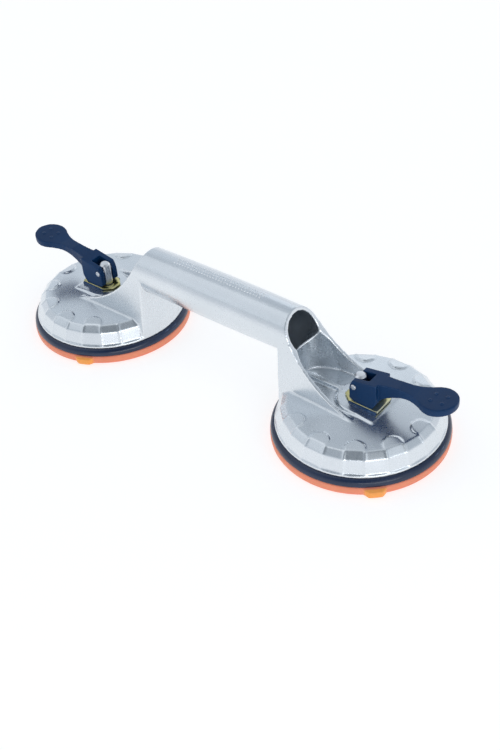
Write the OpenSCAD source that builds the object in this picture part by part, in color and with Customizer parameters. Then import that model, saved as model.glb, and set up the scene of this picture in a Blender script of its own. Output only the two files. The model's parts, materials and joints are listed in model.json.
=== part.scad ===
// Two-cup vacuum lifter with cam levers.
// Origin: midway between the two cups, on the plane of the sealing lips.
// +X runs along the handle, +Z points up. Millimetres.

/* [Layout] */
// distance from the middle of the handle to each cup's centre
head_x = 115.5; // [108:0.5:130]
// number of sides on the faceted skirt of each bell
skirt_sides = 24; // [18:1:36]

/* [Handle] */
// outside radius of the tubular handle at its ends
tube_r = 16.25; // [15.5:0.05:16.6]
// how much fuller the handle is at the middle than at its ends
tube_barrel = 0.6; // [0:0.1:1.2]
// wall of the handle
tube_wall = 2.9; // [2.2:0.1:3.6]
// height of the handle's centre line
tube_z = 62.8; // [60:0.1:66]
// radius of the sweeping cut that opens the neck
mouth_r = 79; // [77:0.5:81]
// wall of the neck's two cheeks
neck_wall = 2.7; // [2.2:0.1:3.2]

/* [Cup] */
// outside radius of the orange suction disc
disc_r = 60; // [59.7:0.1:62]
// thickness of the disc's outer rim
disc_rim_h = 6.7; // [6:0.1:7.2]
// outside radius of the dark bezel ring
bezel_r = 59.65; // [58.8:0.05:59.7]
// height of the bezel's top, where the casting's skirt begins
skirt_z = 11.6; // [11:0.1:12.4]
// radius of the skirt at its foot
skirt_r = 56.8; // [56:0.1:57.6]
// direction of the release tab, in degrees from +X, on the right cup
tab_angle_right = -47; // [-80:1:-20]
// direction of the release tab on the left cup
tab_angle_left = -66; // [-160:1:-20]
// how far the right disc's tab stands out past the disc
tab_reach_right = 3.2; // [1.6:0.2:6]
// how far the left disc's tab stands out past the disc
tab_reach_left = 2.6; // [1.6:0.2:6]

/* [Lever and plunger] */
// height of the cross pin with the lever folded down
pin_z = 43.5; // [43.2:0.1:44]
// radius of the cross pin
pin_r = 2; // [1.6:0.1:2.3]
// radius of the pull rod
rod_r = 4; // [3.6:0.1:4.2]
// how far the plunger drops when the lever is raised
lift = 5; // [3:0.5:6]
// height of the top of the yellow cam plate
cam_z = 31.65; // [31.4:0.05:31.65]
// half width of the lever's fork block
fork_w = 8.4; // [7.8:0.1:8.8]
// radius of the lever's round thumb paddle
paddle_r = 12.3; // [11.6:0.1:13]

/* [Hidden] */
$fn = 96;
eps = 0.01;
run = 0.05;                 // running clearance on a radius
gap = 0.3;                  // clearance between soft and moving solids
cam_rate = lift / (PI / 2); // drop per radian of lever travel
cam_h = pin_z - cam_z - run;
hub_z = 22.5;
plate_z = 9.8;
plate_foot = cam_z - 0.6;   // underside of the cam plate
alu = [0.78, 0.80, 0.81];
navy = [0.10, 0.17, 0.30];
orange = [0.95, 0.45, 0.20];
zinc_yellow = [0.80, 0.75, 0.35];
steel = [0.75, 0.76, 0.78];
bronze = [0.72, 0.52, 0.30];

// Each cup is drawn with its centre at the origin and its outward side at +X.
module at_right() {
    translate([head_x, 0, 0]) children();
}

module at_left() {
    rotate([0, 0, 180]) translate([head_x, 0, 0]) children();
}

// half width of the neck's outside at a place x and height z
function cheek(x, z) = 18 + 0.0602 * (x + 53) - 0.0708 * (z - 38);

// a block whose two cheeks follow cheek(), drawn in by inset
module cheek_block(x0, x1, z0, z1, inset) {
    p = [for (z = [z0, z1]) for (x = [x0, x1]) for (s = [-1, 1])
        [x, s * (cheek(x, z) - inset), z]];
    polyhedron(points = p, faces = [
        [0, 2, 3, 1], [4, 5, 7, 6], [0, 1, 5, 4],
        [2, 6, 7, 3], [0, 4, 6, 2], [1, 3, 7, 5]
    ]);
}

// a stack of regular polygons, given as [radius, height] rings from the bottom up
module faceted_stack(rings, n) {
    m = len(rings);
    pts = [for (r = rings) for (i = [0 : n - 1])
        [r[0] * cos((i + 0.5) * 360 / n), r[0] * sin((i + 0.5) * 360 / n), r[1]]];
    sides = [for (k = [0 : m - 2]) for (i = [0 : n - 1])
        [k * n + i, (k + 1) * n + i, (k + 1) * n + (i + 1) % n, k * n + (i + 1) % n]];
    foot = [[for (i = [0 : n - 1]) i]];
    lid = [[for (i = [n - 1 : -1 : 0]) (m - 1) * n + i]];
    polyhedron(points = pts, faces = concat(foot, sides, lid));
}

module handle_solid() {
    half = head_x - 30;
    rotate([0, 90, 0]) rotate_extrude() polygon(concat(
        [[0, -half]],
        [for (i = [-8 : 8]) let (x = half * i / 8)
            [tube_r + tube_barrel * max(0, 1 - pow(x / 60, 2)), x]],
        [[0, half]]
    ));
}

module neck_solid() {
    intersection() {
        cheek_block(-59, 24, skirt_z, tube_z, 0);
        cylinder(r = skirt_r - 0.3, h = 100);
    }
}

// the open pocket between the cheeks, with its rounded back wall
module neck_pocket() {
    intersection() {
        cheek_block(-60, 60, 15, 85, neck_wall);
        translate([0, 0, 15]) linear_extrude(tube_z - 17) polygon(concat(
            [for (a = [90 : 7.5 : 270]) [-20 + 28 * cos(a), 18.4 * sin(a)]],
            [[-19.9, -40], [60, -40], [60, 40], [-19.9, 40]]
        ));
    }
}

module mouth_cut() {
    translate([22.6, -60, 106]) rotate([-90, 0, 0]) cylinder(r = mouth_r, h = 120, $fn = 180);
}

module bell_outside() {
    top_r = 48.8;
    translate([0, 0, skirt_z]) cylinder(r = skirt_r, h = 2);
    faceted_stack([[skirt_r - 0.6, skirt_z + 1.9], [52.6, 22.8], [51.9, 23.5], [top_r, 26.4]],
        skirt_sides);
    // crown, rising gently towards the boss
    intersection() {
        rotate([0, 0, 180]) translate([0, 0, 24]) linear_extrude(6)
            polygon([for (i = [0.5 : skirt_sides])
                (top_r - 0.4) * [cos(i * 360 / skirt_sides), sin(i * 360 / skirt_sides)]]);
        rotate([0, 0, 180]) rotate_extrude()
            polygon([[0, 23], [52, 23], [52, 26.5], [20, 28.4], [0, 28.4]]);
    }
    // round bosses that run out into the shoulder
    intersection() {
        rotate([0, 0, 180]) rotate_extrude()
            polygon([[0, 24], [47.8, 24], [47.8, 27.1], [38.5, 28.8], [0, 28.8]]);
        for (a = [-120 : 30 : 120]) rotate([0, 0, a])
            translate([45.6, 0, 23]) cylinder(r1 = 6.8, r2 = 5.9, h = 7);
    }
}

module bell_inside() {
    rotate_extrude() polygon([
        [0, skirt_z - 1], [53.6, skirt_z - 1], [53.6, skirt_z + 1.2],
        [49.6, 21.4], [46, 23.4], [12.6, 24.6], [12.6, hub_z], [0, hub_z]
    ]);
}

module boss_outline() {
    circle(r = 16);
    translate([0, -15.7]) square([19.7, 31.4]);
}

// square boss with a rounded inner end, its top falling gently outward
module boss_solid() {
    intersection() {
        translate([0, 0, 24]) linear_extrude(10) boss_outline();
        rotate([90, 0, 0]) linear_extrude(60, center = true)
            polygon([[-20, 23], [-20, 30.3], [-3, 30.3], [20, 28.9], [20, 23]]);
    }
    // rib from the boss to the back wall
    translate([-48.5, -2.1, 24]) cube([34, 4.2, 6.9]);
}

module head_outside() {
    bell_outside();
    boss_solid();
}

// handle and necks as one hollow limb, open into both pockets
module handle_and_necks() {
    difference() {
        union() {
            translate([0, 0, tube_z]) handle_solid();
            at_right() neck_solid();
            at_left() neck_solid();
        }
        translate([0, 0, tube_z]) rotate([0, 90, 0])
            cylinder(r = tube_r - tube_wall, h = 2 * head_x, center = true);
        at_right() neck_pocket();
        at_left() neck_pocket();
        at_right() mouth_cut();
        at_left() mouth_cut();
    }
}

module body_casting() {
    color(alu) difference() {
        union() {
            handle_and_necks();
            at_right() head_outside();
            at_left() head_outside();
        }
        at_right() bell_inside();
        at_left() bell_inside();
        at_right() translate([0, 0, 15]) cylinder(r = 6, h = 30);
        at_left() translate([0, 0, 15]) cylinder(r = 6, h = 30);
    }
}

// plain bush pressed into the boss, which guides the pull rod
module guide_bush() {
    color(bronze) translate([0, 0, hub_z]) difference() {
        cylinder(r = 6, h = 6.4);
        translate([0, 0, -1]) cylinder(r = rod_r + run, h = 10);
    }
}

// outline of the cam plate: square outer end, cut corners at the inner end
module plate_outline(half_width) {
    polygon([
        [-9.4, -4], [-3.4, -half_width], [17.4, -half_width],
        [17.4, half_width], [-3.4, half_width], [-9.4, 4]
    ]);
}

// wedge-shaped pad that levels the plate on the sloping boss, a little wider than the plate
module bearing_pad() {
    color(navy) difference() {
        intersection() {
            translate([0, 0, 28]) linear_extrude(plate_foot - 28) plate_outline(9.7);
            rotate([90, 0, 0]) linear_extrude(60, center = true)
                polygon([[-3, 30.3], [20, 28.9], [20, 32], [-3, 32]]);
        }
        translate([0, 0, 20]) cylinder(r = 5, h = 20);
    }
}

// yellow-zinc plate with a lip turned down over the pad's outer end
module cam_plate() {
    color(zinc_yellow) difference() {
        union() {
            translate([0, 0, plate_foot]) linear_extrude(cam_z - plate_foot) plate_outline(8.7);
            translate([17.4, -8.2, 30]) cube([0.8, 16.4, cam_z - 30]);
        }
        translate([0, 0, 20]) cylinder(r = 5, h = 20);
    }
}

module bezel_ring() {
    color(navy) rotate_extrude() polygon([
        [50, disc_rim_h], [bezel_r, disc_rim_h], [bezel_r, disc_rim_h + 1.6],
        [bezel_r - 0.5, disc_rim_h + 3], [bezel_r - 1.4, disc_rim_h + 4.2],
        [bezel_r - 2.85, skirt_z], [50, skirt_z]
    ]);
}

// moulded rubber disc: thick rim, raised centre and a blunt tab to let air in
module suction_disc(tab_angle, reach) {
    color(orange) union() {
        rotate_extrude() polygon([
            [0, 6], [37, 6], [50, 1.6], [52, 0], [disc_r - 1.2, 0], [disc_r, 1.2],
            [disc_r, disc_rim_h - 0.6], [disc_r - 0.6, disc_rim_h], [50, disc_rim_h],
            [38, 9.5], [0, 9.5]
        ]);
        rotate([0, 0, tab_angle]) translate([disc_r + reach, 0, 1.4])
            linear_extrude(disc_rim_h - 2.6) polygon([
                [-12, -7.8], [-reach - 1, -7.8], [-1.5, -6.6], [-0.4, -5.2], [0, -3.4],
                [0, 3.4], [-0.4, 5.2], [-1.5, 6.6], [-reach - 1, 7.8], [-12, 7.8]
            ]);
    }
}

module left_suction_disc() {
    at_left() suction_disc(tab_angle_left - 180, tab_reach_left);
}

module right_suction_disc() {
    at_right() suction_disc(tab_angle_right, tab_reach_right);
}

module backing_plate() {
    color(steel) translate([0, 0, plate_z]) difference() {
        cylinder(r = 35, h = 2.5);
        translate([0, 0, -1]) cylinder(r = rod_r, h = 5);
    }
}

module lock_nut() {
    color(steel) translate([0, 0, plate_z + 2.5]) difference() {
        cylinder(r = 13 / sqrt(3), h = 4, $fn = 6);
        translate([0, 0, -1]) cylinder(r = rod_r, h = 8);
    }
}

// pressed washer that centres the spring on the backing plate
module spring_seat() {
    color(steel) translate([0, 0, plate_z + 2.5]) rotate_extrude()
        polygon([[8, 0], [13.6, 0], [13.6, 2.2], [12.8, 2.2], [12.8, 0.8], [8, 0.8]]);
}

// helical wire, drawn as a swept ring of points
module return_spring() {
    turns = 4;
    steps = 20;
    sides = 8;
    wire = 0.8;
    r = 11;
    z0 = plate_z + 3.3 + wire;
    z1 = hub_z - wire - 0.05;
    n = turns * steps;
    pts = [for (i = [0 : n]) let (a = i * 360 / steps, z = z0 + (z1 - z0) * i / n)
        for (j = [0 : sides - 1]) let (b = j * 360 / sides)
            [(r + wire * cos(b)) * cos(a), (r + wire * cos(b)) * sin(a), z + wire * sin(b)]];
    skin = [for (i = [0 : n - 1]) for (j = [0 : sides - 1])
        [i * sides + j, i * sides + (j + 1) % sides,
         (i + 1) * sides + (j + 1) % sides, (i + 1) * sides + j]];
    cap0 = [[for (j = [sides - 1 : -1 : 0]) j]];
    cap1 = [[for (j = [0 : sides - 1]) n * sides + j]];
    color(steel) polyhedron(points = pts, faces = concat(skin, cap0, cap1));
}

// round rod with a chamfered head and a cross hole for the pin
module pull_rod() {
    color(steel) difference() {
        rotate_extrude() polygon([
            [0, plate_z], [rod_r, plate_z], [rod_r, pin_z + 4.4],
            [rod_r - 1.3, pin_z + 5.6], [0, pin_z + 5.6]
        ]);
        translate([0, 20, pin_z]) rotate([90, 0, 0]) cylinder(r = pin_r, h = 40);
    }
}

module cross_pin() {
    color(steel) translate([0, fork_w + 0.3, pin_z]) rotate([90, 0, 0])
        cylinder(r = pin_r, h = 2 * fork_w + 0.6);
}

// rolling end of the fork: its distance to the plate falls evenly as the lever turns
function cam_point(a) = let (h = cam_h - cam_rate * a * PI / 180)
    [-h * sin(a) + cam_rate * cos(a), pin_z - h * cos(a) - cam_rate * sin(a)];

// the lever seen from the side
module lever_side() {
    polygon(concat(
        [[-3.2, 42], [-2.6, 45], [-1, 48.4], [17, 51.6], [30, 53.6], [42, 54.3], [70, 57.6]],
        [[70, 52.6], [57, 50.9], [46, 50], [40, 49.4], [35, 48.3], [31, 46.8], [27, 45]],
        [[23, 42.9], [20, 40.9], [17.6, 38.4], [16, 35.4], [14.6, 32.6], [13.4, cam_z + run]],
        [for (a = [0 : 4 : 36]) cam_point(a)],
        [[-3.2, 33.9]]
    ));
}

// the lever seen from above
module lever_plan() {
    translate([-5, -fork_w]) square([22, 2 * fork_w]);
    side = [
        [16, 5.7], [24, 4.8], [31, 4.6], [36, 4.9], [40, 5.6], [44, 6.9], [48, 8.8],
        [51, 10.3], [53, 11.2]
    ];
    polygon(concat(
        [for (p = side) [p[0], -p[1]]],
        [for (i = [len(side) - 1 : -1 : 0]) side[i]]
    ));
    translate([57, 0]) circle(r = paddle_r);
}

module lever() {
    color(navy) difference() {
        union() {
            intersection() {
                rotate([90, 0, 0]) linear_extrude(60, center = true) lever_side();
                translate([0, 0, 25]) linear_extrude(40) lever_plan();
            }
            // four grip studs on the paddle
            for (x = [53, 61]) for (y = [-3.6, 3.6])
                translate([x, y, 52]) cylinder(r = 0.9, h = 4.5 + 0.12 * (x - 57), $fn = 24);
        }
        // slot that straddles the rod
        translate([-20, -rod_r - 0.3, 20]) cube([29.5, 2 * rod_r + 0.6, 50]);
        translate([0, 20, pin_z]) rotate([90, 0, 0]) cylinder(r = pin_r + run, h = 40);
    }
}

body_casting();
at_left() guide_bush();  // left_guide_bush
at_left() bearing_pad();  // left_bearing_pad
at_left() cam_plate();  // left_cam_plate
at_left() bezel_ring();  // left_bezel_ring
left_suction_disc();
at_left() backing_plate();  // left_backing_plate
at_left() lock_nut();  // left_lock_nut
at_left() spring_seat();  // left_spring_seat
at_left() return_spring();  // left_return_spring
at_left() pull_rod();  // left_pull_rod
at_left() cross_pin();  // left_cross_pin
at_left() lever();  // left_lever
at_right() guide_bush();  // right_guide_bush
at_right() bearing_pad();  // right_bearing_pad
at_right() cam_plate();  // right_cam_plate
at_right() bezel_ring();  // right_bezel_ring
right_suction_disc();
at_right() backing_plate();  // right_backing_plate
at_right() lock_nut();  // right_lock_nut
at_right() spring_seat();  // right_spring_seat
at_right() return_spring();  // right_return_spring
at_right() pull_rod();  // right_pull_rod
at_right() cross_pin();  // right_cross_pin
at_right() lever();  // right_lever
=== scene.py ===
"""Looks of the two-cup vacuum lifter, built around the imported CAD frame."""
import json
import math
import random

import bmesh
import bpy
import numpy as np
from mathutils import Matrix, Vector


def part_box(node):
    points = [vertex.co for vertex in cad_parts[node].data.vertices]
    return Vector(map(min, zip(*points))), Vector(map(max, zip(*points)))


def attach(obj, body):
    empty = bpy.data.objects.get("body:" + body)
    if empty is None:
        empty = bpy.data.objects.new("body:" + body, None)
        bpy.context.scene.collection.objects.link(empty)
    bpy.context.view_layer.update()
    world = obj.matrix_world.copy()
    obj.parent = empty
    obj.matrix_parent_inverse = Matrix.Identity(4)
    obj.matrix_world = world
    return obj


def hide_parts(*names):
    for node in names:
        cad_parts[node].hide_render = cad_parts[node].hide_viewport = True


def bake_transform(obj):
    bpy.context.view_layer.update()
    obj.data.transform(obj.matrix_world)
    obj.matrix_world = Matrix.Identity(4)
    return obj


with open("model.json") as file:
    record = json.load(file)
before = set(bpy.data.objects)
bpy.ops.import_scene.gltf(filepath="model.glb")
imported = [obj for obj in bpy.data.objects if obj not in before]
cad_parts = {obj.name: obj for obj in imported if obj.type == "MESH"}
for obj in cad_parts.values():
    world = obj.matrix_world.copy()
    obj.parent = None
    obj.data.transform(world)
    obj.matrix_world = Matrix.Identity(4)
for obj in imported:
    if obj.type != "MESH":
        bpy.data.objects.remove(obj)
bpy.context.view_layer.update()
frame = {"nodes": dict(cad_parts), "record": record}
MM = 0.001
SIDES = {"right": 1.0, "left": -1.0}


def middle(node):
    low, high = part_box(node)
    return (low + high) / 2


# the centre of each cup, on the plane of the lips
HEAD = {s: Vector((middle(s + "_bezel_ring").x, 0.0, 0.0)) for s in SIDES}
# the handle: radius at its ends, how much fuller it is in the middle, and its axis
HANDLE_R = 16.25 * MM
HANDLE_SWELL = 0.6 * MM
HANDLE_AXIS_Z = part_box("body_casting")[1].z - HANDLE_R - HANDLE_SWELL
HANDLE_HALF = 60.0 * MM
# a little more than the radius of the handle's bore
BORE_R = 13.4 * MM
# radius of the suction disc, and from each cup's axis to its paddle's middle
DISC_R = 60.0 * MM
PADDLE_OUT = 57.0 * MM
# the most triangles that the casting's skin may have
CASTING_FACES = 185000


# ---------------------------------------------------------------- node helpers
def new_material(name):
    mat = bpy.data.materials.new(name)
    mat.use_nodes = True
    return mat, mat.node_tree, mat.node_tree.nodes["Principled BSDF"]


def add(tree, kind, inputs=None, **props):
    n = tree.nodes.new(kind)
    for k, v in props.items():
        setattr(n, k, v)
    for k, v in (inputs or {}).items():
        if isinstance(v, bpy.types.NodeSocket):
            tree.links.new(v, n.inputs[k])
        else:
            n.inputs[k].default_value = v
    return n


def place(tree):
    return add(tree, "ShaderNodeTexCoord").outputs["Object"]


def noise(tree, where, scale, detail=3.0, rough=0.55):
    return add(tree, "ShaderNodeTexNoise", {
        "Vector": where, "Scale": scale, "Detail": detail, "Roughness": rough}).outputs["Fac"]


def stretched(tree, where, factors):
    return add(tree, "ShaderNodeMapping", {"Vector": where, "Scale": factors}).outputs["Vector"]


def spread(tree, value, a, b, lo=0.0, hi=1.0):
    """value from a..b brought to lo..hi, and held there outside it"""
    return add(tree, "ShaderNodeMapRange", {
        "Value": value, "From Min": a, "From Max": b, "To Min": lo, "To Max": hi}).outputs["Result"]


def sums(tree, op, a, b, clamp=False):
    return add(tree, "ShaderNodeMath", {0: a, 1: b}, operation=op, use_clamp=clamp).outputs[0]


def length(tree, a, b):
    """the length of the flat vector (a, b)"""
    squares = sums(tree, "ADD", sums(tree, "MULTIPLY", a, a), sums(tree, "MULTIPLY", b, b))
    return sums(tree, "SQRT", squares, 0.0)


def mixed(tree, factor, a, b):
    n = add(tree, "ShaderNodeMix", data_type="RGBA")
    for k, v in ((0, factor), (6, a), (7, b)):
        if isinstance(v, bpy.types.NodeSocket):
            tree.links.new(v, n.inputs[k])
        else:
            n.inputs[k].default_value = v
    return n.outputs[2]


def bumps(tree, heights):
    """one normal from several (height, strength, distance) layers"""
    normal = None
    for height, strength, distance in heights:
        ins = {"Height": height, "Strength": strength, "Distance": distance}
        if normal is not None:
            ins["Normal"] = normal
        normal = add(tree, "ShaderNodeBump", ins).outputs["Normal"]
    return normal


def pointy(tree):
    return add(tree, "ShaderNodeNewGeometry").outputs["Pointiness"]


def hollow(tree, distance):
    return add(tree, "ShaderNodeAmbientOcclusion", {"Distance": distance},
               samples=8).outputs["AO"]


def rgb(r, g, b):
    return (r, g, b, 1.0)


# ---------------------------------------------------------------- materials
def cast_aluminium():
    """tumbled die-cast aluminium with painted edge glints and painted shade in its creases and
    recesses; duller, with painted shade, inside the handle's bore
    """
    mat, t, shader = new_material("cast_aluminium")
    co = place(t)
    cloud = noise(t, co, 22.0, 4.0, 0.6)
    fine = noise(t, co, 420.0, 3.0, 0.6)
    grain = noise(t, co, 2600.0, 2.0, 0.5)
    drawn = noise(t, stretched(t, co, (14.0, 500.0, 500.0)), 1.0, 3.0, 0.6)
    tint = mixed(t, spread(t, cloud, 0.35, 0.65), rgb(0.70, 0.74, 0.775), rgb(0.75, 0.785, 0.82))
    tint = mixed(t, spread(t, fine, 0.3, 0.75, 0.0, 0.12), tint, rgb(0.62, 0.66, 0.70))
    tint = mixed(t, spread(t, drawn, 0.55, 0.8, 0.0, 0.16), tint, rgb(0.88, 0.90, 0.92))
    # convex edges lightened nearly to white: partly rubbed wear, partly painted highlight along the
    # edges
    edge = spread(t, pointy(t), 0.515, 0.57)
    # painted shade: concave creases darkened
    crease_shade = spread(t, pointy(t), 0.485, 0.43)
    # painted shade: the colour darkens where ambient occlusion finds recesses and gaps between parts
    shade = spread(t, hollow(t, 0.012), 0.85, 0.35)
    tint = mixed(t, sums(t, "MULTIPLY", edge, 0.75), tint, rgb(0.95, 0.96, 0.97))
    tint = mixed(t, sums(t, "MULTIPLY", crease_shade, 0.35), tint, rgb(0.40, 0.43, 0.47))
    tint = mixed(t, sums(t, "MULTIPLY", shade, 0.22), tint, rgb(0.40, 0.43, 0.46))
    # painted shade inside the handle's bore, strongest at its top and weakest along its bottom; the
    # bore is also rougher
    parts = add(t, "ShaderNodeSeparateXYZ", {0: co})
    dz = sums(t, "SUBTRACT", parts.outputs["Z"], HANDLE_AXIS_Z)
    off_axis = length(t, dz, parts.outputs["Y"])
    along = add(t, "ShaderNodeMath", {0: parts.outputs["X"]}, operation="ABSOLUTE").outputs[0]
    inside = sums(t, "MULTIPLY", spread(t, off_axis, BORE_R + 0.4 * MM, BORE_R),
                  spread(t, along, HANDLE_HALF + 8.0 * MM, HANDLE_HALF - 2.0 * MM))
    # how strong the painted shade is, by height inside the bore
    skin = spread(t, dz, -0.011, 0.004, 0.25, 0.85)
    tint = mixed(t, sums(t, "MULTIPLY", inside, skin), tint, rgb(0.28, 0.34, 0.41))
    rough = spread(t, sums(t, "ADD", fine, sums(t, "MULTIPLY", cloud, 0.8)), 0.6, 1.2, 0.23, 0.31)
    rough = sums(t, "ADD", rough, sums(t, "MULTIPLY", inside, 0.25))
    rough = sums(t, "SUBTRACT", rough, sums(t, "MULTIPLY", edge, 0.06), True)
    t.links.new(tint, shader.inputs["Base Color"])
    t.links.new(rough, shader.inputs["Roughness"])
    t.links.new(bumps(t, [
        (noise(t, co, 60.0, 2.0, 0.5), 0.03, 0.0004), (fine, 0.008, 0.0001),
        (grain, 0.01, 0.00003), (drawn, 0.01, 0.00008)]), shader.inputs["Normal"])
    shader.inputs["Metallic"].default_value = 1.0
    return mat


def navy_plastic(name, low, high, gloss, grain_scale, specular):
    """moulded navy plastic or rubber with a fine spark-eroded grain, and edges lightened as rubbed
    wear and as painted highlight
    """
    mat, t, shader = new_material(name)
    co = place(t)
    cloud = noise(t, co, 45.0, 3.0)
    grain = noise(t, co, grain_scale, 2.0, 0.6)
    tint = mixed(t, spread(t, cloud, 0.3, 0.7), low, high)
    tint = mixed(t, spread(t, grain, 0.55, 0.8, 0.0, 0.10), tint, rgb(0.03, 0.12, 0.28))
    edge = spread(t, pointy(t), 0.52, 0.60)
    # edges lightened toward pale blue: partly rubbed wear, partly painted highlight
    scuff_and_glint = sums(t, "MULTIPLY", edge, spread(t, noise(t, co, 300.0, 4.0, 0.7), 0.4, 0.65, 0.1, 0.55))
    tint = mixed(t, scuff_and_glint, tint, rgb(0.16, 0.24, 0.40))
    dust = spread(t, noise(t, co, 900.0, 2.0), 0.68, 0.78, 0.0, 0.04)
    tint = mixed(t, dust, tint, rgb(0.30, 0.34, 0.42))
    rough = spread(t, sums(t, "ADD", cloud, grain), 0.7, 1.3, gloss, gloss + 0.14)
    t.links.new(tint, shader.inputs["Base Color"])
    t.links.new(rough, shader.inputs["Roughness"])
    t.links.new(bumps(t, [(noise(t, co, 140.0, 2.0), 0.08, 0.0003), (grain, 0.16, 0.0001)]),
                shader.inputs["Normal"])
    shader.inputs["Specular IOR Level"].default_value = specular
    return mat


def orange_rubber():
    """soft salmon-orange rubber, a little paler where it is worn and dusty"""
    mat, t, shader = new_material("orange_rubber")
    co = place(t)
    cloud = noise(t, co, 30.0, 3.0)
    speck = noise(t, co, 1300.0, 2.0)
    tint = mixed(t, spread(t, cloud, 0.3, 0.7), rgb(0.80, 0.225, 0.135), rgb(0.86, 0.275, 0.170))
    tint = mixed(t, spread(t, speck, 0.5, 0.75, 0.0, 0.25), tint, rgb(0.96, 0.42, 0.22))
    edge = spread(t, pointy(t), 0.52, 0.60)
    tint = mixed(t, sums(t, "MULTIPLY", edge, 0.45), tint, rgb(0.98, 0.42, 0.16))
    # the tabs are a yellower rubber
    parts = add(t, "ShaderNodeSeparateXYZ", {0: co})
    for side in SIDES:
        dx = sums(t, "SUBTRACT", parts.outputs["X"], HEAD[side].x)
        r = length(t, dx, parts.outputs["Y"])
        past_rim = spread(t, r, DISC_R - 0.2 * MM, DISC_R + 1.2 * MM)
        this_cup = spread(t, r, DISC_R + 15.0 * MM, DISC_R + 10.0 * MM)
        tint = mixed(t, sums(t, "MULTIPLY", past_rim, this_cup), tint, rgb(1.0, 0.38, 0.075))
    t.links.new(tint, shader.inputs["Base Color"])
    t.links.new(spread(t, sums(t, "ADD", cloud, speck), 0.7, 1.3, 0.42, 0.60),
                shader.inputs["Roughness"])
    t.links.new(bumps(t, [(noise(t, co, 120.0, 2.0), 0.12, 0.0004), (speck, 0.14, 0.0001)]),
                shader.inputs["Normal"])
    shader.inputs["Subsurface Weight"].default_value = 0.12
    shader.inputs["Subsurface Radius"].default_value = (0.002, 0.0008, 0.0004)
    return mat


def plated(name, low, high, streak, gloss):
    """plated or turned metal: tool marks round Z, patches of thicker plating, worn edges"""
    mat, t, shader = new_material(name)
    co = place(t)
    cloud = noise(t, co, 130.0, 3.0)
    marks = noise(t, stretched(t, co, (60.0, 60.0, 2600.0)), 1.0, 2.0)
    tint = mixed(t, spread(t, cloud, 0.35, 0.65), low, high)
    tint = mixed(t, spread(t, noise(t, co, 420.0, 3.0), 0.5, 0.75, 0.0, 0.5), tint, streak)
    edge = spread(t, pointy(t), 0.53, 0.62)
    tint = mixed(t, sums(t, "MULTIPLY", edge, 0.5), tint, rgb(0.88, 0.88, 0.86))
    t.links.new(tint, shader.inputs["Base Color"])
    t.links.new(spread(t, sums(t, "ADD", marks, cloud), 0.7, 1.3, gloss, gloss + 0.18),
                shader.inputs["Roughness"])
    t.links.new(bumps(t, [(marks, 0.12, 0.00006), (cloud, 0.06, 0.0002)]), shader.inputs["Normal"])
    shader.inputs["Metallic"].default_value = 1.0
    return mat


M_ALU = cast_aluminium()
M_LEVER = navy_plastic(
    "navy_plastic", rgb(0.001, 0.028, 0.096), rgb(0.002, 0.036, 0.118),
    gloss=0.33, grain_scale=1500.0, specular=0.20)
M_BEZEL = navy_plastic(
    "navy_rubber", rgb(0.002, 0.012, 0.046), rgb(0.003, 0.018, 0.062),
    gloss=0.18, grain_scale=2200.0, specular=0.60)
M_ORANGE = orange_rubber()
M_ZINC = plated(
    "yellow_zinc", rgb(0.62, 0.56, 0.16), rgb(0.78, 0.70, 0.28), rgb(0.50, 0.52, 0.22), gloss=0.24)
M_STEEL = plated(
    "steel", rgb(0.66, 0.68, 0.72), rgb(0.80, 0.81, 0.84), rgb(0.58, 0.60, 0.66), gloss=0.20)
M_BRONZE = plated(
    "bronze", rgb(0.50, 0.31, 0.13), rgb(0.62, 0.41, 0.19), rgb(0.38, 0.25, 0.12), gloss=0.34)
SLOT_MATERIAL = {
    "cast_aluminium": M_ALU, "navy_plastic": M_LEVER, "navy_rubber": M_BEZEL,
    "orange_rubber": M_ORANGE, "yellow_zinc": M_ZINC, "steel": M_STEEL, "bronze": M_BRONZE,
}
NODE_SLOT = {s["node"]: s["material_slot"] for s in frame["record"]["subparts"]}
for node, cad in frame["nodes"].items():
    cad.data.materials.clear()
    cad.data.materials.append(SLOT_MATERIAL[NODE_SLOT[node]])


# ---------------------------------------------------------------- mesh helpers
def adopt(ob, nodes, body, slot):
    """gives a piece its material, the CAD nodes that it stands for and the body it rides on"""
    ob.data.materials.clear()
    ob.data.materials.append(SLOT_MATERIAL[slot])
    if nodes:
        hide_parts(*nodes)
    if body:
        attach(ob, body)
    return ob


def link(name, mesh):
    ob = bpy.data.objects.new(name, mesh)
    bpy.context.scene.collection.objects.link(ob)
    return ob


def copied(name, node):
    """the CAD node's mesh in a new object, with its faces joined up"""
    ob = link(name, frame["nodes"][node].data.copy())
    bm = bmesh.new()
    bm.from_mesh(ob.data)
    bmesh.ops.remove_doubles(bm, verts=bm.verts, dist=2e-7)
    bm.to_mesh(ob.data)
    bm.free()
    return ob


def baked(ob):
    """puts the object's modifiers into its mesh"""
    view = bpy.context.evaluated_depsgraph_get()
    mesh = bpy.data.meshes.new_from_object(ob.evaluated_get(view))
    ob.modifiers.clear()
    ob.data = mesh
    return ob


def smooth_shaded(ob):
    ob.data.polygons.foreach_set("use_smooth", [True] * len(ob.data.polygons))
    return ob


def softened(ob, voxel, passes):
    """rebuilds the mesh as one even skin and rounds its edges as casting or moulding does"""
    m = ob.modifiers.new("skin", "REMESH")
    m.mode = "VOXEL"
    m.voxel_size = voxel
    m.use_smooth_shade = True
    s = ob.modifiers.new("round", "SMOOTH")
    s.factor = 0.5
    s.iterations = passes
    return smooth_shaded(baked(ob))


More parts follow.
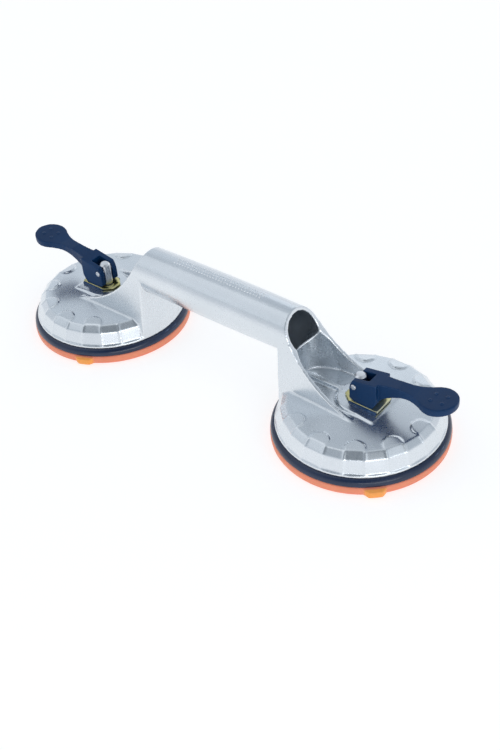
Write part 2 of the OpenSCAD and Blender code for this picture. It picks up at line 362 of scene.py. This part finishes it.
def bevelled(ob, width, segments, angle):
    """rounds the mesh's sharp edges by a small width"""
    d = ob.modifiers.new("flat", "DECIMATE")
    d.decimate_type = "DISSOLVE"
    d.angle_limit = math.radians(0.5)
    b = ob.modifiers.new("edge", "BEVEL")
    b.width = width
    b.segments = segments
    b.limit_method = "ANGLE"
    b.angle_limit = math.radians(angle)
    smooth_shaded(baked(ob))
    ob.data.set_sharp_from_angle(angle=math.radians(40))
    return ob


def joined(ob, others):
    """the meshes of others put into ob's mesh"""
    bm = bmesh.new()
    bm.from_mesh(ob.data)
    for o in others:
        bm.from_mesh(o.data)
        old = o.data
        bpy.data.objects.remove(o)
        bpy.data.meshes.remove(old)
    bm.to_mesh(ob.data)
    bm.free()
    return ob


def lathe(name, profile, centre, steps, push=None):
    """a closed profile of (radius, height) turned about a vertical axis through centre.
    push(radius, height, angle) may give a point a new radius."""
    n = len(profile)
    verts, faces = [], []
    for i in range(steps):
        a = 2 * math.pi * i / steps
        for r, z in profile:
            q = push(r, z, a) if push else r
            verts.append((centre.x + q * math.cos(a), centre.y + q * math.sin(a), centre.z + z))
    for i in range(steps):
        j = (i + 1) % steps
        for k in range(n):
            l = (k + 1) % n
            faces.append((i * n + k, j * n + k, j * n + l, i * n + l))
    mesh = bpy.data.meshes.new(name)
    mesh.from_pydata(verts, [], faces)
    bm = bmesh.new()
    bm.from_mesh(mesh)
    bmesh.ops.remove_doubles(bm, verts=bm.verts, dist=1e-7)
    bmesh.ops.dissolve_degenerate(bm, edges=bm.edges, dist=1e-8)
    bmesh.ops.recalc_face_normals(bm, faces=bm.faces)
    bm.to_mesh(mesh)
    bm.free()
    return smooth_shaded(link(name, mesh))


def rounded(points, radius, steps):
    """a closed profile with each corner replaced by a short arc"""
    out = []
    n = len(points)
    for i in range(n):
        p, a, b = Vector(points[i]), Vector(points[i - 1]), Vector(points[(i + 1) % n])
        r = min(radius, (a - p).length * 0.45, (b - p).length * 0.45)
        if p.x < 1e-6 or r < 1e-6:
            out.append((p.x, p.y))
            continue
        s, e = p + (a - p).normalized() * r, p + (b - p).normalized() * r
        for k in range(steps + 1):
            t = k / steps
            q = s * (1 - t) ** 2 + p * 2 * t * (1 - t) + e * t * t
            out.append((q.x, q.y))
    return out


def bar(name, points, width, height, outward):
    """a slim bar with a rounded back that follows points; outward is the way its back faces"""
    verts, faces = [], []
    half = [(-0.5, -0.6), (-0.5, 0.15), (-0.28, 0.75)]
    shape = half + [(0.0, 1.0)] + [(-u, v) for u, v in reversed(half)]
    side = Vector((0, 0, 1)).cross(outward).normalized()
    for i, p in enumerate(points):
        along = (points[min(i + 1, len(points) - 1)] - points[max(i - 1, 0)]).normalized()
        out = side.cross(along).normalized()
        if out.dot(outward) < 0:
            out = -out
        for u, v in shape:
            verts.append(p + side * u * width + out * v * height)
    n = len(shape)
    for i in range(len(points) - 1):
        for k in range(n):
            l = (k + 1) % n
            faces.append((i * n + k, i * n + l, (i + 1) * n + l, (i + 1) * n + k))
    faces.append(tuple(range(n - 1, -1, -1)))
    last = (len(points) - 1) * n
    faces.append(tuple(range(last, last + n)))
    mesh = bpy.data.meshes.new(name)
    mesh.from_pydata(verts, [], faces)
    bm = bmesh.new()
    bm.from_mesh(mesh)
    bmesh.ops.recalc_face_normals(bm, faces=bm.faces)
    bm.to_mesh(mesh)
    bm.free()
    return link(name, mesh)


def dome(name, centre, normal, radius, height):
    """a low rounded pip standing on a surface, rooted a little below it"""
    rings, steps = 4, 12
    normal = normal.normalized()
    u = normal.orthogonal().normalized()
    w = normal.cross(u)
    verts, faces = [], []
    for k in range(rings):
        t = (math.pi / 2) * k / rings
        for i in range(steps):
            a = 2 * math.pi * i / steps
            verts.append(centre + (u * math.cos(a) + w * math.sin(a)) * radius * math.cos(t)
                         + normal * height * math.sin(t))
    top = len(verts)
    verts.append(centre + normal * height)
    base = len(verts)
    for i in range(steps):
        a = 2 * math.pi * i / steps
        verts.append(centre + (u * math.cos(a) + w * math.sin(a)) * radius - normal * height)
    for k in range(rings - 1):
        for i in range(steps):
            j = (i + 1) % steps
            faces.append((k * steps + i, k * steps + j, (k + 1) * steps + j, (k + 1) * steps + i))
    k = rings - 1
    for i in range(steps):
        j = (i + 1) % steps
        faces.append((k * steps + i, k * steps + j, top))
        faces.append((j, i, base + i, base + j))
    faces.append(tuple(base + i for i in range(steps - 1, -1, -1)))
    mesh = bpy.data.meshes.new(name)
    mesh.from_pydata([tuple(v) for v in verts], [], faces)
    return smooth_shaded(link(name, mesh))


# ---------------------------------------------------------------- casting
def skirt_ridges(side):
    """fine parting ridges on the corners of the faceted skirt, but not under the neck"""
    made = []
    line = [(56.1, 12.6), (56.1, 13.5), (54.3, 18.1), (52.6, 22.8), (51.9, 23.5), (50.3, 25.0),
            (48.8, 26.4), (48.0, 26.75)]
    corners = 24
    for i in range(corners):
        a = 2 * math.pi * (i + 0.5) / corners
        if math.cos(a) < -0.95:
            continue
        out = Vector((SIDES[side] * math.cos(a), math.sin(a), 0))
        pts = [HEAD[side] + out * r * MM + Vector((0, 0, z * MM)) for r, z in line]
        made.append(bar("ridge", pts, 1.15 * MM, 0.42 * MM, out))
    return made


def casting():
    """the handle, necks and bells as one skin, with the ridges grown into it"""
    ob = copied("casting_skin", "body_casting")
    extra = [b for s in SIDES for b in skirt_ridges(s)]
    joined(ob, extra)
    softened(ob, 0.62 * MM, 4)
    faces = sum(len(p.vertices) - 2 for p in ob.data.polygons)
    if faces > CASTING_FACES:
        d = ob.modifiers.new("thin", "DECIMATE")
        d.ratio = CASTING_FACES / faces
        smooth_shaded(baked(ob))
    return adopt(ob, ["body_casting"], "body", "cast_aluminium")


def grip_pips():
    """three staggered rows of raised pips along the top of the handle"""
    made = []
    rng = random.Random(7)
    pitch, per_row, row_angle = 2.5 * MM, 31, math.radians(8.5)
    for row in (-1, 0, 1):
        for i in range(per_row):
            x = pitch * (i - (per_row - 1) / 2 + (0.5 if row == 0 else 0))
            a = row_angle * row
            r = HANDLE_R + HANDLE_SWELL * max(0, 1 - (x / HANDLE_HALF) ** 2)
            out = Vector((0, math.sin(a), math.cos(a)))
            foot = Vector((x, 0, HANDLE_AXIS_Z)) + out * r
            size = (0.62 + 0.18 * rng.random()) * MM
            made.append(dome("pip", foot, out, size, 0.45 * MM))
    ob = made[0]
    ob.name = "grip_pips"
    joined(ob, made[1:])
    return adopt(ob, [], "body", "cast_aluminium")


casting()
grip_pips()


# ---------------------------------------------------------------- cups
def bezel(side):
    """turned ring with a softly rounded shoulder and a shallow step inside its top"""
    node = side + "_bezel_ring"
    low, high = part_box(node)
    r = (high.y - low.y) / 2
    z0, z1 = low.z, high.z
    profile = rounded([
        (0.050, z0), (r, z0), (r, z0 + 1.1 * MM), (r - 0.22 * MM, z0 + 2.2 * MM),
        (r - 0.75 * MM, z0 + 3.3 * MM), (r - 1.65 * MM, z0 + 4.25 * MM), (r - 2.75 * MM, z1),
        (0.0555, z1), (0.0550, z1 - 0.6 * MM),
        (0.050, z1 - 0.6 * MM)], 0.7 * MM, 5)
    ob = lathe(side + "_bezel_skin", profile, HEAD[side], 192)
    return adopt(ob, [node], "body", "navy_rubber")


def disc(side):
    """moulded disc: rolled rim, grooved sealing lip, dished face with two fine rings, release tab"""
    node = side + "_suction_disc"
    outline = [
        (0.0, 6.0), (12.0, 6.0), (12.6, 5.8), (13.4, 5.8), (14.0, 6.0), (25.0, 6.0), (25.6, 5.8),
        (26.4, 5.8), (27.0, 6.0), (36.0, 6.0), (38.5, 5.75), (42.0, 4.6), (46.0, 3.15), (48.4, 2.25),
        (49.0, 1.75), (49.7, 1.85), (50.3, 1.6), (51.2, 0.7), (52.4, 0.08), (53.2, 0.0), (54.2, 0.0),
        (54.6, 0.35), (55.2, 0.35), (55.6, 0.0), (57.9, 0.0), (58.7, 0.12), (59.35, 0.55),
        (59.75, 1.2), (59.9, 2.1), (59.95, 3.2), (60.0, 4.4), (59.95, 5.1), (59.9, 5.6), (59.75, 6.15),
        (59.4, 6.45), (58.7, 6.7), (54.0, 6.7), (50.0, 6.7), (44.0, 8.1), (38.0, 9.5), (20.0, 9.5),
        (0.0, 9.5)]
    profile = [(r * MM, z * MM) for r, z in outline]
    # the tab's direction and reach come from the disc's own outline
    co = np.array([v.co for v in frame["nodes"][node].data.vertices], float)
    rel = co[:, :2] - np.array([HEAD[side].x, 0.0])
    rad = np.hypot(rel[:, 0], rel[:, 1])
    far = rel[rad > DISC_R + 0.5 * MM]
    aim = math.atan2(far[:, 1].mean(), far[:, 0].mean())
    reach = rad.max() - 0.1 * MM
    tab_half, tab_low, tab_high = 8.2 * MM, 0.4 * MM, 6.2 * MM

    def push(r, z, a):
        """draws the rim out into the tab, easing in from its sides, top and bottom"""
        off = (a - aim + math.pi) % (2 * math.pi) - math.pi
        if r < DISC_R - 1.0 * MM or z > tab_high or z < tab_low or abs(off) > 0.4:
            return r
        sideways = abs(math.sin(off)) * (DISC_R + 1.0 * MM)
        ease = min(1.0, max(0.0, (tab_half - sideways) / (4.6 * MM)))
        ease = ease * ease * (3 - 2 * ease)
        level = min(1.0, (tab_high - z) / (0.6 * MM), (z - tab_low) / (0.8 * MM))
        return r + (reach - r) * ease * level

    ob = lathe(side + "_disc_skin", profile, HEAD[side], 360, push)
    adopt(ob, [node], None, "orange_rubber")
    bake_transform(ob)
    # the middle goes with the plunger and the rim stays; this skin rides on no body
    return ob


# ---------------------------------------------------------------- plunger and lever
def lever(side):
    """moulded lever: softened edges, a rolled rim on the paddle and four low studs"""
    node = side + "_lever"
    ob = copied(side + "_lever_skin", node)
    softened(ob, 0.34 * MM, 6)
    hub_x = HEAD[side].x + SIDES[side] * PADDLE_OUT
    # only the paddle's rim is rounded further
    group = ob.vertex_groups.new(name="rim")
    co = np.array([v.co for v in ob.data.vertices], float)
    outward = (co[:, 0] - hub_x) * SIDES[side]
    near_rim = np.clip((np.hypot(outward, co[:, 1]) - 9.0 * MM) / (2.2 * MM), 0, 1)
    weight = near_rim * np.clip((outward + 10.0 * MM) / (6.0 * MM), 0, 1)
    for i in np.nonzero(weight > 0)[0]:
        group.add([int(i)], float(weight[i]), "REPLACE")
    m = ob.modifiers.new("roll", "SMOOTH")
    m.vertex_group = "rim"
    m.factor = 0.5
    m.iterations = 26
    smooth_shaded(baked(ob))
    ob.vertex_groups.clear()
    co = np.array([v.co for v in ob.data.vertices], float)
    studs = []
    for dx in (-4.0, 4.0):
        for dy in (-3.6, 3.6):
            x, y = hub_x + SIDES[side] * dx * MM, dy * MM
            away = np.hypot(co[:, 0] - x, co[:, 1] - y)
            # the paddle's upper face round the stud
            face = np.sort(co[(away > 1.7 * MM) & (away < 2.4 * MM), 2])[-20:].mean()
            studs.append(dome("stud", Vector((x, y, face)), Vector((0, 0, 1)), 1.1 * MM, 0.5 * MM))
    joined(ob, studs)
    return adopt(ob, [node], side + "_lever", "navy_plastic")


def rod(side):
    """turned rod with its edges rounded"""
    node = side + "_pull_rod"
    ob = bevelled(copied(side + "_rod_skin", node), 0.35 * MM, 3, 25)
    return adopt(ob, [node], side + "_plunger", "steel")


def pin(side):
    """cross pin with rounded ends"""
    node = side + "_cross_pin"
    ob = bevelled(copied(side + "_pin_skin", node), 0.5 * MM, 4, 25)
    return adopt(ob, [node], side + "_plunger", "steel")


def spring(side):
    """coil with closed, ground ends"""
    node = side + "_return_spring"
    low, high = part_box(node)
    c = HEAD[side]
    wire = 0.8 * MM
    r = (high.y - low.y) / 2 - wire
    z0, z1 = low.z + wire, high.z - wire
    turns, per_turn, around = 5.0, 40, 12
    # each end turn lies nearly flat and rises a tenth of the height
    flat, rise_flat = 0.75, 0.10
    n = int(turns * per_turn)
    verts, faces = [], []
    for i in range(n + 1):
        t = i / per_turn
        f = min(1.0, max(0.0, (t - flat) / (turns - 2 * flat)))
        ends = (min(t, flat) + max(0.0, t - turns + flat)) / flat
        z = z0 + (z1 - z0) * (rise_flat * ends + (1 - 2 * rise_flat) * f)
        a = 2 * math.pi * t
        for k in range(around):
            b = 2 * math.pi * k / around
            q = r + wire * math.cos(b)
            zz = min(max(z + wire * math.sin(b), low.z), high.z)
            verts.append((c.x + q * math.cos(a), c.y + q * math.sin(a), zz))
    for i in range(n):
        for k in range(around):
            l = (k + 1) % around
            faces.append((i * around + k, i * around + l, (i + 1) * around + l, (i + 1) * around + k))
    faces.append(tuple(range(around - 1, -1, -1)))
    faces.append(tuple(range(n * around, (n + 1) * around)))
    mesh = bpy.data.meshes.new(side + "_spring_skin")
    mesh.from_pydata(verts, [], faces)
    bm = bmesh.new()
    bm.from_mesh(mesh)
    bmesh.ops.recalc_face_normals(bm, faces=bm.faces)
    bm.to_mesh(mesh)
    bm.free()
    ob = smooth_shaded(link(side + "_spring_skin", mesh))
    adopt(ob, [node], None, "steel")
    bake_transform(ob)
    return ob


def edged(side, node, body, width):
    """a CAD part with a small round on its sharp edges"""
    full = side + "_" + node
    ob = bevelled(copied(full + "_skin", full), width * MM, 2, 28)
    return adopt(ob, [full], body, NODE_SLOT[full])


for s in SIDES:
    bezel(s)
    disc(s)
    lever(s)
    rod(s)
    pin(s)
    spring(s)
    for part, rides, round_mm in (
            ("cam_plate", "body", 0.22), ("bearing_pad", "body", 0.2), ("guide_bush", "body", 0.25),
            ("backing_plate", s + "_plunger", 0.4), ("lock_nut", s + "_plunger", 0.4),
            ("spring_seat", s + "_plunger", 0.15)):
        edged(s, part, rides, round_mm)

# ---------------------------------------------------------------- camera
# it looks from the front right and above, rolled a little, at a point under the handle
AZ, EL, ROLL = math.radians(42.0), math.radians(39.42), math.radians(-4.88)
DIST = 0.7365
# that point is this far to the right of and below one at this height over the origin
AIM_RIGHT, AIM_DOWN, AIM_HEIGHT = 18.17 * MM, 27.76 * MM, 30.0 * MM
back = Vector((math.sin(AZ) * math.cos(EL), -math.cos(AZ) * math.cos(EL), math.sin(EL)))
level = Vector((math.cos(AZ), math.sin(AZ), 0.0))
rise = back.cross(level)
right = level * math.cos(ROLL) + rise * math.sin(ROLL)
up = rise * math.cos(ROLL) - level * math.sin(ROLL)
aim = Vector((0, 0, AIM_HEIGHT)) + right * AIM_RIGHT - up * AIM_DOWN
cam_data = bpy.data.cameras.new("camera")
cam_data.sensor_fit = "AUTO"
cam_data.sensor_width = 36.0
cam_data.lens = 50.2
cam = bpy.data.objects.new("camera", cam_data)
bpy.context.scene.collection.objects.link(cam)
turn = Matrix((right, up, back)).transposed().to_4x4()
cam.matrix_world = Matrix.Translation(aim + back * DIST) @ turn
bpy.context.scene.camera = cam

# ---------------------------------------------------------------- floor
bpy.ops.mesh.primitive_plane_add(size=8, location=(0, 0, 0))
floor = bpy.context.object
floor.name = "floor"
mat, t, shader = new_material("floor")
tone = noise(t, place(t), 3.0, 2.0)
t.links.new(mixed(t, tone, rgb(0.50, 0.50, 0.50), rgb(0.53, 0.53, 0.53)), shader.inputs["Base Color"])
shader.inputs["Roughness"].default_value = 0.9
shader.inputs["Specular IOR Level"].default_value = 0.1
shader.inputs["Emission Color"].default_value = rgb(1.0, 1.0, 1.0)
shader.inputs["Emission Strength"].default_value = 0.66
floor.data.materials.append(mat)

# ---------------------------------------------------------------- light
world = bpy.data.worlds.new("world")
world.use_nodes = True
t = world.node_tree
sky = add(t, "ShaderNodeTexCoord").outputs["Generated"]
height = add(t, "ShaderNodeSeparateXYZ", {0: sky}).outputs["Z"]
ramp = add(t, "ShaderNodeValToRGB", {"Fac": spread(t, height, -0.1, 1.0)})
ramp.color_ramp.elements[0].color = rgb(0.92, 0.95, 1.0)
ramp.color_ramp.elements[1].color = rgb(0.62, 0.67, 0.72)
for position, colour in (
        (0.25, rgb(0.82, 0.85, 0.90)), (0.5, rgb(0.55, 0.61, 0.67)), (0.75, rgb(0.42, 0.47, 0.53))):
    e = ramp.color_ramp.elements.new(position)
    e.color = colour


def towards(direction):
    """how nearly the sky's direction is the one given, 1 where it is"""
    node = add(t, "ShaderNodeVectorMath", {0: sky, 1: direction}, operation="DOT_PRODUCT")
    return node.outputs["Value"]


# a darker corner of the studio, high at the front
flag = towards((0.46, -0.51, 0.73))
light = mixed(t, spread(t, flag, 0.80, 0.97, 0.0, 0.72), ramp.outputs["Color"], rgb(0.10, 0.12, 0.14))
# a bright wall behind, to the left
wall = towards((-0.74, 0.46, 0.49))
light = mixed(t, spread(t, wall, 0.90, 0.995, 0.0, 0.6), light, rgb(0.85, 0.92, 1.0))
t.links.new(light, t.nodes["Background"].inputs["Color"])
t.nodes["Background"].inputs["Strength"].default_value = 1.0
bpy.context.scene.world = world
bpy.context.scene.view_settings.view_transform = "Standard"


def softbox(name, where, target, size, power, colour):
    """a rectangular light at where, turned to face target"""
    data = bpy.data.lights.new(name, "AREA")
    data.shape = "RECTANGLE"
    data.size, data.size_y = size
    data.energy = power
    data.color = colour
    ob = bpy.data.objects.new(name, data)
    bpy.context.scene.collection.objects.link(ob)
    ob.location = where
    ob.rotation_euler = (Vector(target) - Vector(where)).to_track_quat("-Z", "Y").to_euler()
    return ob


softbox("key", (-0.9, -0.6, 1.5), (0, 0, 0.02), (1.7, 1.7), 3.2, (1.0, 0.99, 0.98))
softbox("fill", (1.4, -0.4, 0.9), (0.05, 0, 0.03), (1.2, 0.9), 1.5, (0.95, 0.98, 1.0))
softbox("strip", (1.1, -0.75, 0.42), (0.05, 0, 0.02), (1.1, 0.24), 2.5, (0.97, 0.98, 1.0))
softbox("rim", (-0.2, 1.5, 0.9), (0, 0, 0.04), (1.6, 0.8), 1.5, (0.96, 0.98, 1.0))
